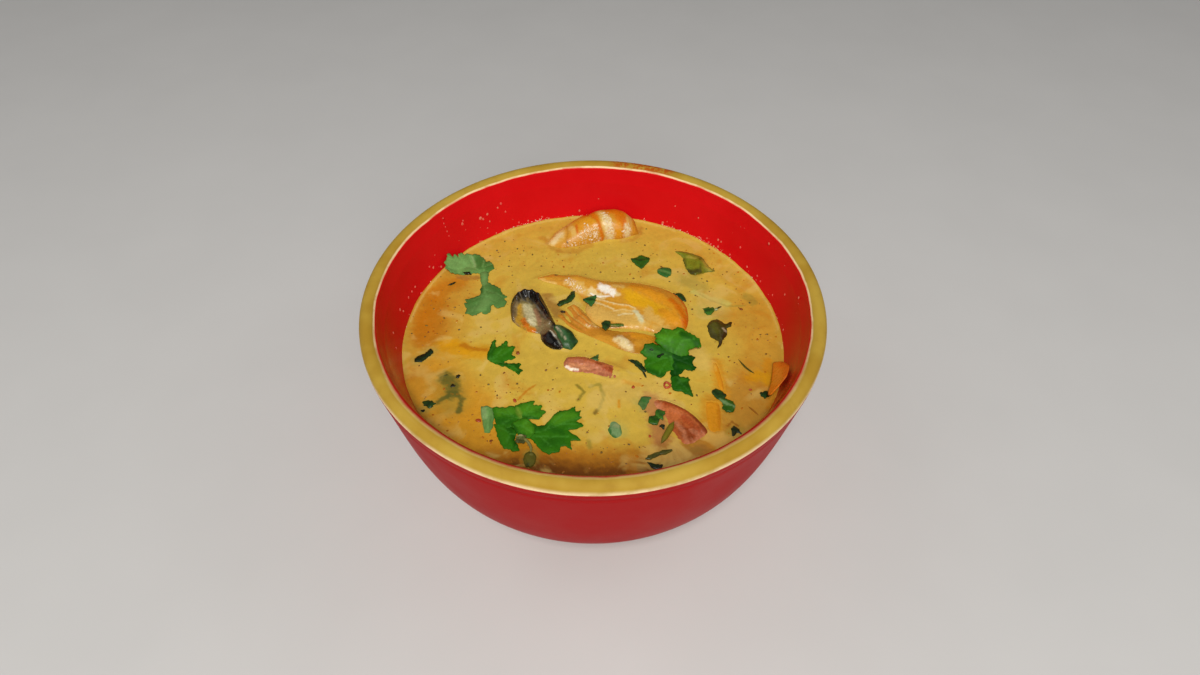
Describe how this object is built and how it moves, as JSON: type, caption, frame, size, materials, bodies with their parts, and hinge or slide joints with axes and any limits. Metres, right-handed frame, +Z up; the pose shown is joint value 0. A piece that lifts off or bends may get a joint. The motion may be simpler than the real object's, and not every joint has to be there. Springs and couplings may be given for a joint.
{
  "type": "tom yum soup in a bowl",
  "caption": "Creamy tom yum soup with prawns, mussel meat, vegetables and coriander in a thick red glazed bowl with a mustard rim; it stands on its foot ring.",
  "frame": {"origin": "on the table, under the middle of the foot ring", "axes": "+Z up, along the bowl's own axis; +Y to the back of the bowl, where a prawn leans on the wall"},
  "size_m": [0.1812, 0.1812, 0.088],
  "materials": {
    "bowl_glaze": "gloss",
    "broth": "gloss",
    "prawn_flesh": "satin",
    "mussel_meat": "gloss",
    "tomato": "satin",
    "pepper": "satin",
    "coriander": "satin",
    "dark_leaf": "satin"
  },
  "bodies": {
    "root": {"bowl": "bowl_glaze", "soup": "broth", "prawn_back": "prawn_flesh", "prawn_middle": "prawn_flesh", "prawn_lower": "prawn_flesh", "mussel": "mussel_meat", "leaf_by_mussel": "dark_leaf", "tomato_strip": "tomato", "tomato_wedge": "tomato", "pepper_wall": "pepper", "pepper_right": "pepper", "pepper_strip": "pepper", "lime_leaf_back": "dark_leaf", "lime_leaf_right": "dark_leaf", "coriander_left": "coriander", "coriander_small": "coriander", "coriander_right": "coriander", "coriander_front": "coriander"}
  },
  "joints": []
}
